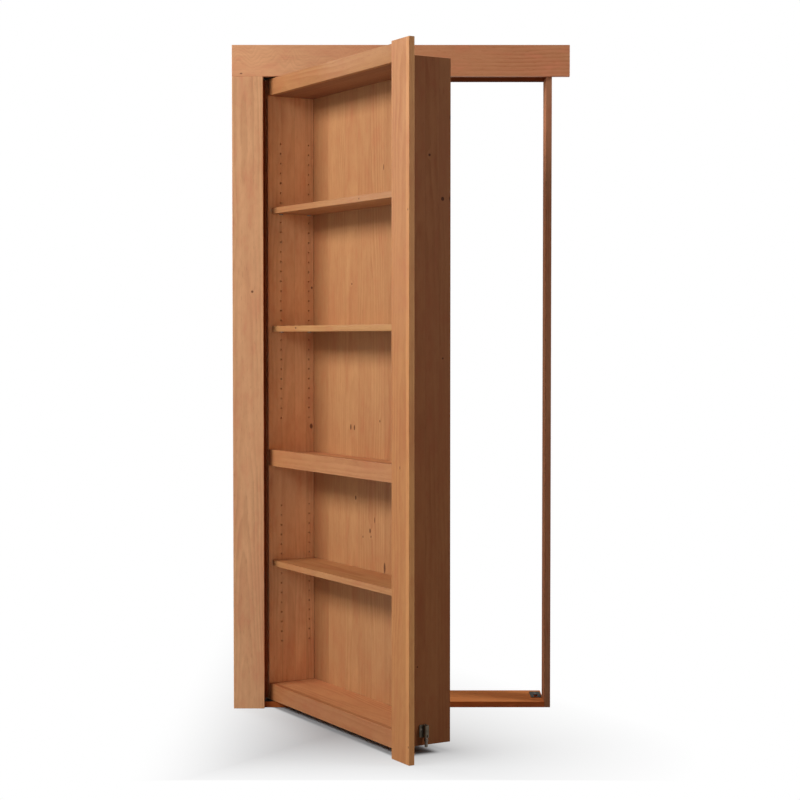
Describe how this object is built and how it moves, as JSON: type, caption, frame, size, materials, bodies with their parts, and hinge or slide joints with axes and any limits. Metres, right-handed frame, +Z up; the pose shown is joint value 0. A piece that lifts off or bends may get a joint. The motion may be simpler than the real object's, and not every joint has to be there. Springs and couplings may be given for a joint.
{
  "type": "hidden door bookcase",
  "caption": "Hidden door bookcase: shelves with a face frame and a closing trim board, turning on top and bottom pivots in a cased door frame with a threshold and a drop bolt.",
  "frame": {"origin": "on the floor, in the middle of the doorway's width and halfway through the depth of the jambs, on the threshold's underside", "axes": "+Z up, +X to the right as seen from the room, +Y through the doorway, away from the room"},
  "size_m": [1.091, 0.9893, 2.155],
  "materials": {
    "casing_wood": "satin clear finish on reddish hardwood",
    "jamb_wood": "satin clear finish on reddish hardwood",
    "rail_wood": "satin clear finish on reddish hardwood",
    "side_wood": "satin clear finish on reddish hardwood",
    "shelf_wood": "satin clear finish on reddish hardwood",
    "back_wood": "satin clear finish on knotty staves",
    "black_steel": "satin black",
    "bright_steel": "zinc plated",
    "nylon": "matt"
  },
  "bodies": {
    "frame": {"left_jamb": "jamb_wood", "right_jamb": "jamb_wood", "head_jamb": "jamb_wood", "threshold": "jamb_wood", "left_casing": "casing_wood", "header_casing": "casing_wood", "strike_plate": "black_steel", "strike_screw_1": "bright_steel", "strike_screw_2": "bright_steel", "lower_pivot_plate": "black_steel", "lower_plate_screw_1": "bright_steel", "lower_plate_screw_2": "bright_steel", "upper_pivot_plate": "black_steel", "upper_plate_screw_1": "bright_steel", "upper_plate_screw_2": "bright_steel", "thrust_washer": "nylon"},
    "door": {"left_side": "side_wood", "right_side": "side_wood", "top_board": "side_wood", "bottom_board": "shelf_wood", "mid_shelf": "shelf_wood", "back_panel": "back_wood", "top_rail": "rail_wood", "mid_rail": "rail_wood", "bottom_rail": "rail_wood", "closing_trim": "casing_wood", "upper_shelf": "shelf_wood", "upper_shelf_support_left_front": "bright_steel", "upper_shelf_support_left_back": "bright_steel", "upper_shelf_support_right_front": "bright_steel", "upper_shelf_support_right_back": "bright_steel", "second_shelf": "shelf_wood", "second_shelf_support_left_front": "bright_steel", "second_shelf_support_left_back": "bright_steel", "second_shelf_support_right_front": "bright_steel", "second_shelf_support_right_back": "bright_steel", "lower_shelf": "shelf_wood", "lower_shelf_support_left_front": "bright_steel", "lower_shelf_support_left_back": "bright_steel", "lower_shelf_support_right_front": "bright_steel", "lower_shelf_support_right_back": "bright_steel", "lower_pivot_leaf": "black_steel", "lower_bush": "nylon", "lower_leaf_screw_1": "bright_steel", "lower_leaf_screw_2": "bright_steel", "upper_pivot_leaf": "black_steel", "upper_bush": "nylon", "upper_leaf_screw_1": "bright_steel", "upper_leaf_screw_2": "bright_steel", "bolt_bracket": "black_steel", "bracket_screw_1": "bright_steel", "bracket_screw_2": "bright_steel", "bolt_spring": "bright_steel"},
    "bolt": {"bolt": "bright_steel"}
  },
  "joints": [
    {"name": "door_swing", "type": "hinge", "parent": "frame", "child": "door", "pos_m": [-0.41649, -0.033, 0.03], "axis": [0, 0, 1], "range_deg": [-45, 60]},
    {"name": "bolt_slide", "type": "slide", "parent": "door", "child": "bolt", "axis": [0, 0, 1], "range_m": [-0.02, 0], "deforming": ["bolt_spring"]}
  ]
}
